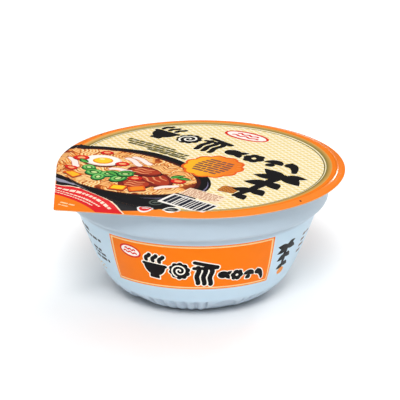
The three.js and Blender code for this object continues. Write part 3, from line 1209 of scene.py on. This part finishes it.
def fine_grain_group(name):
    """Cloudy tone and a fine height, at a grain size in millimetres."""
    group, given, out = new_group(
        name,
        (("Place", "NodeSocketVector"), ("Grain size", "NodeSocketFloat")),
        (("Tone", "NodeSocketFloat"), ("Height", "NodeSocketFloat")),
    )
    scale = calc(group, "DIVIDE", 1 / MM, given["Grain size"])
    group.links.new(cloud(group, given["Place"], calc(group, "MULTIPLY", scale, 0.2), 4.0, 0.55), out["Tone"])
    group.links.new(cloud(group, given["Place"], scale, 2.0), out["Height"])
    return group


def rub_streaks_group(name):
    """A mask of faint rubbed streaks, in patches, at a length in millimetres."""
    group, given, out = new_group(
        name,
        (("Place", "NodeSocketVector"), ("Streak length", "NodeSocketFloat")),
        (("Mask", "NodeSocketFloat"),),
    )
    stretch = {"Vector": given["Place"], "Rotation": (0.3, 0.5, 0.7), "Scale": (1.0, 9.0, 9.0)}
    stretched = add_node(group, "ShaderNodeMapping", stretch).outputs[0]
    scale = calc(group, "DIVIDE", 1 / MM, given["Streak length"])
    lines = spread(group, cloud(group, stretched, scale, 3.0), 0.0, 1.0, 0.56, 0.7)
    patches = spread(group, cloud(group, given["Place"], 38.0, 2.0), 0.0, 1.0, 0.42, 0.62)
    group.links.new(calc(group, "MULTIPLY", lines, patches), out["Mask"])
    return group


def use_group(tree, name, build, inputs):
    """The outputs of a shared node group, which is built once and then found by its name."""
    group = bpy.data.node_groups.get(name) or build(name)
    return add_node(tree, "ShaderNodeGroup", inputs, node_tree=group).outputs


def grain(tree, place, size):
    """The shared grain at one size: its tone and its height."""
    made = use_group(tree, "fine_grain", fine_grain_group, {"Place": place, "Grain size": size})
    return made["Tone"], made["Height"]


def rubbed_roughness(tree, place, rough, length, strength):
    """A roughness with the shared rub streaks over it."""
    inputs = {"Place": place, "Streak length": length}
    mask = use_group(tree, "rub_streaks", rub_streaks_group, inputs)["Mask"]
    return calc(tree, "ADD", rough, calc(tree, "MULTIPLY", mask, strength))


def new_material(name):
    """A node material: its tree, its surface shader and the place on the surface in metres."""
    material = bpy.data.materials.new(name)
    material.use_nodes = True
    tree = material.node_tree
    place = add_node(tree, "ShaderNodeTexCoord").outputs["Object"]
    return material, tree, tree.nodes["Principled BSDF"], place


def feed(tree, shader, **sockets):
    """Links values that vary over the surface to the shader, by the names of its inputs."""
    for name, value in sockets.items():
        tree.links.new(value, shader.inputs[name.replace("_", " ").title()])


def bump(tree, shader, height, distance, strength, below=None):
    """Feeds a height to the shader's Normal, over an earlier bump where there is one."""
    inputs = {"Height": height, "Distance": distance * MM, "Strength": strength}
    if below is not None:
        inputs["Normal"] = below
    made = add_node(tree, "ShaderNodeBump", inputs).outputs[0]
    feed(tree, shader, normal=made)
    return made


def ink_colour(tree):
    """The ink of the print and the share of the scale pattern in it."""
    node = add_node(tree, "ShaderNodeAttribute", attribute_name="ink")
    return node.outputs["Color"], node.outputs["Alpha"]


def scale_pattern(tree, place, radius):
    """Rows of overlapping round scales with a ring in each: 1 on a pale line, 0 between the lines."""
    turn = {"Vector": place, "Rotation": (0, 0, math.radians(-PAGE_TURN)), "Scale": (1 / radius,) * 3}
    turned = add_node(tree, "ShaderNodeMapping", turn).outputs[0]
    flat = add_node(tree, "ShaderNodeSeparateXYZ", {0: turned})
    across, up = flat.outputs[0], calc(tree, "MULTIPLY", flat.outputs[1], 2.0)
    row = calc(tree, "FLOOR", up)
    odd = calc(tree, "FLOORED_MODULO", row, 2.0)

    def distance(shift, rise):
        # Distance to the nearest scale centre of one row, in scale radii.
        moved = calc(tree, "FLOORED_MODULO", calc(tree, "ADD", across, calc(tree, "ADD", odd, shift)), 2.0)
        aside = calc(tree, "SUBTRACT", moved, 1.0)
        lift = calc(tree, "MULTIPLY", calc(tree, "SUBTRACT", up, calc(tree, "SUBTRACT", row, rise)), 0.5)
        squares = (calc(tree, "MULTIPLY", aside, aside), calc(tree, "MULTIPLY", lift, lift))
        return calc(tree, "SQRT", calc(tree, "ADD", *squares))

    front = distance(0.0, 1.0)
    behind = distance(1.0, 0.0)
    in_front = calc(tree, "LESS_THAN", front, 1.0)
    reach = add_node(tree, "ShaderNodeMix", {"Factor": in_front, 2: behind, 3: front}).outputs[0]
    return spread(tree, calc(tree, "COSINE", calc(tree, "MULTIPLY", reach, math.tau)), 0.0, 1.0, -0.4, 0.6)


def lid_print_material(settings):
    """Gloss print on film: the inks, the scale pattern on the cream, faint mottle and soft waves."""
    material, tree, shader, place = new_material("lid_print")
    ink, pattern = ink_colour(tree)
    rings = scale_pattern(tree, place, settings.scale_size)
    tinted = blend(tree, rings, opaque(settings.pattern_colour), opaque(srgb(255, 248, 230)))
    patterned = blend(tree, calc(tree, "MULTIPLY", pattern, 0.7), ink, tinted)
    tone, height = grain(tree, place, 1.2)
    colour = brightened(tree, patterned, spread(tree, tone, 0.89, 1.0))
    rough = rubbed_roughness(tree, place, spread(tree, tone, 0.15, 0.23), 16.0, 0.12)
    feed(tree, shader, base_color=colour, roughness=rough)
    shader.inputs["Specular IOR Level"].default_value = 0.2
    waves = bump(tree, shader, cloud(tree, place, 90.0, 2.0), 0.25, 0.5)
    bump(tree, shader, height, 0.02, 0.5, waves)
    return material


def paper_material():
    """The cut edge of the lid: paper stained by the orange ink over it."""
    material, tree, shader, place = new_material("lid_paper")
    tone, height = grain(tree, place, 0.4)
    feed(tree, shader, base_color=blend(tree, tone, opaque(srgb(232, 150, 84)), opaque(srgb(246, 178, 112))))
    shader.inputs["Roughness"].default_value = 0.8
    bump(tree, shader, height, 0.05, 0.6)
    return material


def foil_material():
    """The foil under the lid, satin and faintly creased."""
    material, tree, shader, place = new_material("lid_foil")
    tone, height = grain(tree, place, 0.8)
    colour = blend(tree, tone, opaque(srgb(150, 152, 156)), opaque(srgb(182, 184, 188)))
    feed(tree, shader, base_color=colour, roughness=spread(tree, tone, 0.36, 0.5))
    shader.inputs["Metallic"].default_value = 0.8
    waves = bump(tree, shader, cloud(tree, place, 60.0, 3.0), 0.5, 0.6)
    bump(tree, shader, height, 0.02, 0.5, waves)
    return material


def plastic_material(settings):
    """Pale blue moulded plastic: cloudy tone, satin gloss, fine grain, a little light under its skin, and
    painted shade that greys the foot and the collar.
    """
    material, tree, shader, place = new_material("bowl_plastic")
    tone, height = grain(tree, place, 1.0)
    wide = cloud(tree, place, 22.0, 3.0)
    up = add_node(tree, "ShaderNodeSeparateXYZ", {0: place}).outputs["Z"]
    # Painted shade: greyer plastic low on the foot and high on the collar, blended in by height
    foot = spread(tree, up, 0.0, 1.0, *FOOT_SHADE_HEIGHTS)
    collar = spread(tree, up, 0.0, 1.0, *COLLAR_SHADE_HEIGHTS)
    lower = blend(tree, foot, opaque(settings.plastic_colour), opaque(settings.foot_shade_colour))
    tinted = blend(tree, collar, lower, opaque(settings.collar_shade_colour))
    shade = calc(tree, "ADD", spread(tree, wide, 0.955, 1.035), spread(tree, tone, -0.02, 0.02))
    rough = rubbed_roughness(tree, place, spread(tree, tone, 0.36, 0.46), 20.0, 0.15)
    feed(tree, shader, base_color=brightened(tree, tinted, shade), roughness=rough)
    shader.inputs["Subsurface Weight"].default_value = 0.12
    shader.inputs["Subsurface Radius"].default_value = (0.003, 0.003, 0.0035)
    shader.inputs["Subsurface Scale"].default_value = 1.0
    waves = bump(tree, shader, wide, 0.6, 0.35)
    bump(tree, shader, height, 0.03, 0.6, waves)
    return material


def label_material():
    """Ink printed on the bowl: a little glossier than the plastic under it."""
    material, tree, shader, place = new_material("label_ink")
    ink, _ = ink_colour(tree)
    tone, height = grain(tree, place, 1.0)
    rough = rubbed_roughness(tree, place, spread(tree, tone, 0.3, 0.4), 14.0, 0.16)
    feed(tree, shader, base_color=brightened(tree, ink, spread(tree, tone, 0.95, 1.05)), roughness=rough)
    shader.inputs["Specular IOR Level"].default_value = 0.1
    bump(tree, shader, height, 0.02, 0.5)
    return material


def floor_material():
    """A plain pale floor with a barely seen grain."""
    material, tree, shader, place = new_material("studio_floor")
    tone, height = grain(tree, place, 6.0)
    feed(tree, shader, base_color=blend(tree, tone, opaque((0.92, 0.92, 0.92)), opaque((0.95, 0.95, 0.95))))
    shader.inputs["Roughness"].default_value = 0.85
    bump(tree, shader, height, 0.05, 0.2)
    return material


# Settings that a user would change


class NoodleBowlLid(bpy.types.PropertyGroup):
    """The lid's sheet and its print"""

    thickness: bpy.props.FloatProperty(
        name="Thickness", description="Thickness of the lid's sheet", default=0.0004, unit="LENGTH"
    )
    bead: bpy.props.FloatProperty(
        name="Bead height", description="Height of the bead that the sealing tool leaves",
        default=0.00035, unit="LENGTH",
    )
    swell: bpy.props.FloatProperty(
        name="Swell", description="Height of the slow waves in the sheet", default=0.0003, unit="LENGTH"
    )
    scale_size: bpy.props.FloatProperty(
        name="Scale size", description="Radius of one scale of the printed pattern",
        default=0.0032, unit="LENGTH",
    )
    pattern_colour: bpy.props.FloatVectorProperty(
        name="Pattern colour", description="Ink of the scale pattern", default=srgb(234, 206, 118),
        subtype="COLOR", min=0.0, max=1.0,
    )


class NoodleBowlShell(bpy.types.PropertyGroup):
    """The moulded bowl"""

    plastic_colour: bpy.props.FloatVectorProperty(
        name="Plastic colour", description="Colour of the bare plastic", default=srgb(198, 223, 239),
        subtype="COLOR", min=0.0, max=1.0,
    )
    # Painted shade: a greyer colour for the collar, for the shadow of the lid's overhang and of the collar's
    # step
    collar_shade_colour: bpy.props.FloatVectorProperty(
        name="Collar colour", description="Colour of the collar, which has only air behind it",
        default=srgb(182, 200, 214), subtype="COLOR", min=0.0, max=1.0,
    )
    # Painted shade: a greyer colour for the foot, whose skirt faces down, away from the light
    foot_shade_colour: bpy.props.FloatVectorProperty(
        name="Foot colour", description="Colour of the thick foot", default=srgb(184, 200, 214),
        subtype="COLOR", min=0.0, max=1.0,
    )


class NoodleBowlStudio(bpy.types.PropertyGroup):
    """The camera, the floor and the lights"""

    camera_turn: bpy.props.FloatProperty(
        name="Camera turn", description="Angle of the camera round the bowl, from -Y towards +X",
        default=math.radians(3.0), subtype="ANGLE",
    )
    camera_reach: bpy.props.FloatProperty(
        name="Camera distance", description="Level distance from the bowl's axis to the camera",
        default=0.742, unit="LENGTH",
    )
    camera_height: bpy.props.FloatProperty(
        name="Camera height", description="Height of the camera over the floor", default=0.3328, unit="LENGTH"
    )
    camera_lens: bpy.props.FloatProperty(
        name="Focal length", description="Focal length of the camera in millimetres",
        default=135.99, subtype="DISTANCE_CAMERA",
    )
    key_strength: bpy.props.FloatProperty(
        name="Key light", description="Strength of the soft light over the camera", default=1.7, min=0.0
    )
    fill_strength: bpy.props.FloatProperty(
        name="Front fill", description="Strength of the low wide light in front of the bowl",
        default=0.3, min=0.0,
    )
    edge_power: bpy.props.FloatProperty(
        name="Edge light", description="Power of the small light behind the bowl in watts",
        default=3.0, subtype="POWER",
    )
    horizon: bpy.props.FloatProperty(
        name="Dome at the horizon", description="Strength of the dome's light near the floor",
        default=0.1, min=0.0,
    )
    zenith: bpy.props.FloatProperty(
        name="Dome overhead", description="Strength of the dome's light overhead", default=1.2, min=0.0
    )


def add_piece(name, mesh, node, materials, offset):
    """Puts a mesh made in millimetres into the scene, riding on the body in place of its CAD node."""
    for material in materials:
        mesh.materials.append(material)
    mesh.transform(Matrix.Scale(MM, 4) @ Matrix.Translation(offset))
    piece = bpy.data.objects.new(name, mesh)
    bpy.context.scene.collection.objects.link(piece)
    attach(piece, BODY)
    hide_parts(node)
    return piece


class NOODLEBOWL_OT_lid(bpy.types.Operator):
    """Build the printed lid with its pull tab"""

    bl_idname = "noodle_bowl.lid"
    bl_label = "Build Lid"

    def execute(self, context):
        settings = context.scene.noodle_bowl_lid
        mesh = lid_mesh(settings)
        shade_lid(mesh, settings)
        materials = (lid_print_material(settings), paper_material(), foil_material())
        add_piece("lid_sheet", mesh, "lid", materials, LID_CENTRE.to_3d())
        return {"FINISHED"}


class NOODLEBOWL_OT_bowl(bpy.types.Operator):
    """Build the moulded bowl with its printed labels"""

    bl_idname = "noodle_bowl.bowl"
    bl_label = "Build Bowl"

    def execute(self, context):
        scene = context.scene
        mesh = bowl_mesh(LID_TOP - scene.noodle_bowl_lid.thickness / MM - LID_CLEARANCE)
        shade_bowl(mesh)
        materials = (plastic_material(scene.noodle_bowl_shell), label_material())
        add_piece("bowl_shell", mesh, "bowl", materials, BOWL_CENTRE.to_3d())
        return {"FINISHED"}


# The studio, in metres and degrees

FLOOR_RADIUS = 5.0
FLOOR_DROP = 0.0002
LIGHTS_AIM = (0, 0, 0.04)
KEY_PLACE = (0.0, -0.9, 1.05)
KEY_SIZE = 20
FILL_PLACE = (0.5, -0.9, 0.3)
FILL_SIZE = 80
EDGE_PLACE = (0.55, 0.95, 0.42)
EDGE_SIZE = 0.25
DOME_FADE = (0.35, 0.9)  # the heights between which the dome grows bright, 1 being overhead
CAMERA_AIM = (0.000586, 0.00468, 0.0453)  # before the camera is turned round the bowl
SENSOR_WIDTH = 36.0
CLIP_START = 0.05


def facing(place, aim):
    """The rotation of something at a place that looks at an aim."""
    return (Vector(aim) - Vector(place)).to_track_quat("-Z", "Y").to_euler()


def add_light(name, kind, energy, place):
    """A light that faces the bowl."""
    data = bpy.data.lights.new(name, kind)
    data.energy = energy
    light = bpy.data.objects.new(name, data)
    light.location = place
    light.rotation_euler = facing(place, LIGHTS_AIM)
    bpy.context.scene.collection.objects.link(light)
    return data


class NOODLEBOWL_OT_studio(bpy.types.Operator):
    """Build the floor, the lights and the camera"""

    bl_idname = "noodle_bowl.studio"
    bl_label = "Build Studio"

    def execute(self, context):
        settings = context.scene.noodle_bowl_studio
        self.add_floor(context.scene)
        self.add_dome(context.scene, settings)
        key = add_light("key_light", "SUN", settings.key_strength, KEY_PLACE)
        key.angle = math.radians(KEY_SIZE)
        fill = add_light("front_fill", "SUN", settings.fill_strength, FILL_PLACE)
        fill.angle = math.radians(FILL_SIZE)
        edge = add_light("edge_light", "AREA", settings.edge_power, EDGE_PLACE)
        edge.size = EDGE_SIZE
        self.add_camera(context.scene, settings)
        context.scene.view_settings.view_transform = "Standard"
        return {"FINISHED"}

    def add_floor(self, scene):
        """A wide round floor, a little below the foot so that they don't share a face."""
        mesh = bpy.data.meshes.new("studio_floor")
        bm = bmesh.new()
        bmesh.ops.create_circle(bm, cap_ends=True, segments=96, radius=FLOOR_RADIUS)
        bm.to_mesh(mesh)
        bm.free()
        mesh.materials.append(floor_material())
        floor = bpy.data.objects.new("studio_floor", mesh)
        floor.location.z = -FLOOR_DROP
        scene.collection.objects.link(floor)

    def add_dome(self, scene, settings):
        """An even dome of light, bright overhead and dim near the horizon, so that low sheen stays faint."""
        world = bpy.data.worlds.new("studio_dome")
        world.use_nodes = True
        tree = world.node_tree
        direction = add_node(tree, "ShaderNodeTexCoord").outputs["Generated"]
        height = add_node(tree, "ShaderNodeSeparateXYZ", {0: direction}).outputs["Z"]
        fade = {
            "Value": height, "From Min": DOME_FADE[0], "From Max": DOME_FADE[1],
            "To Min": settings.horizon, "To Max": settings.zenith,
        }
        strength = add_node(tree, "ShaderNodeMapRange", fade, interpolation_type="SMOOTHSTEP").outputs[0]
        tree.links.new(strength, tree.nodes["Background"].inputs["Strength"])
        tree.nodes["Background"].inputs["Color"].default_value = (1.0, 1.0, 1.0, 1.0)
        scene.world = world

    def add_camera(self, scene, settings):
        """The camera stands where the photograph was taken from."""
        data = bpy.data.cameras.new("camera")
        data.lens = settings.camera_lens
        data.sensor_width = SENSOR_WIDTH
        data.clip_start = CLIP_START
        camera = bpy.data.objects.new("camera", data)
        turn = Matrix.Rotation(settings.camera_turn, 3, "Z")
        camera.location = turn @ Vector((0.0, -settings.camera_reach, settings.camera_height))
        camera.rotation_euler = facing(camera.location, turn @ Vector(CAMERA_AIM))
        scene.collection.objects.link(camera)
        scene.camera = camera


# Each step's operator, and the name and kind of its settings
STEPS = (
    ("noodle_bowl.studio", "noodle_bowl_studio", NoodleBowlStudio),
    ("noodle_bowl.bowl", "noodle_bowl_shell", NoodleBowlShell),
    ("noodle_bowl.lid", "noodle_bowl_lid", NoodleBowlLid),
)


class NOODLEBOWL_PT_sidebar(bpy.types.Panel):
    """The buttons and settings in the sidebar"""

    bl_label = "Noodle Bowl"
    bl_idname = "NOODLEBOWL_PT_sidebar"
    bl_space_type = "VIEW_3D"
    bl_region_type = "UI"
    bl_category = "Noodle Bowl"

    def draw(self, context):
        for operator, name, kind in STEPS:
            column = self.layout.box().column()
            for setting in kind.__annotations__:
                column.prop(getattr(context.scene, name), setting)
            column.operator(operator)


CLASSES = (
    NoodleBowlStudio, NoodleBowlShell, NoodleBowlLid,
    NOODLEBOWL_OT_studio, NOODLEBOWL_OT_bowl, NOODLEBOWL_OT_lid, NOODLEBOWL_PT_sidebar,
)


def register():
    for made in CLASSES:
        bpy.utils.register_class(made)
    for _, name, kind in STEPS:
        setattr(bpy.types.Scene, name, bpy.props.PointerProperty(type=kind))


def unregister():
    for _, name, _ in STEPS:
        delattr(bpy.types.Scene, name)
    for made in reversed(CLASSES):
        bpy.utils.unregister_class(made)


def main():
    register()
    bpy.ops.noodle_bowl.studio()
    bpy.ops.noodle_bowl.bowl()
    bpy.ops.noodle_bowl.lid()


if __name__ == "__main__":
    main()
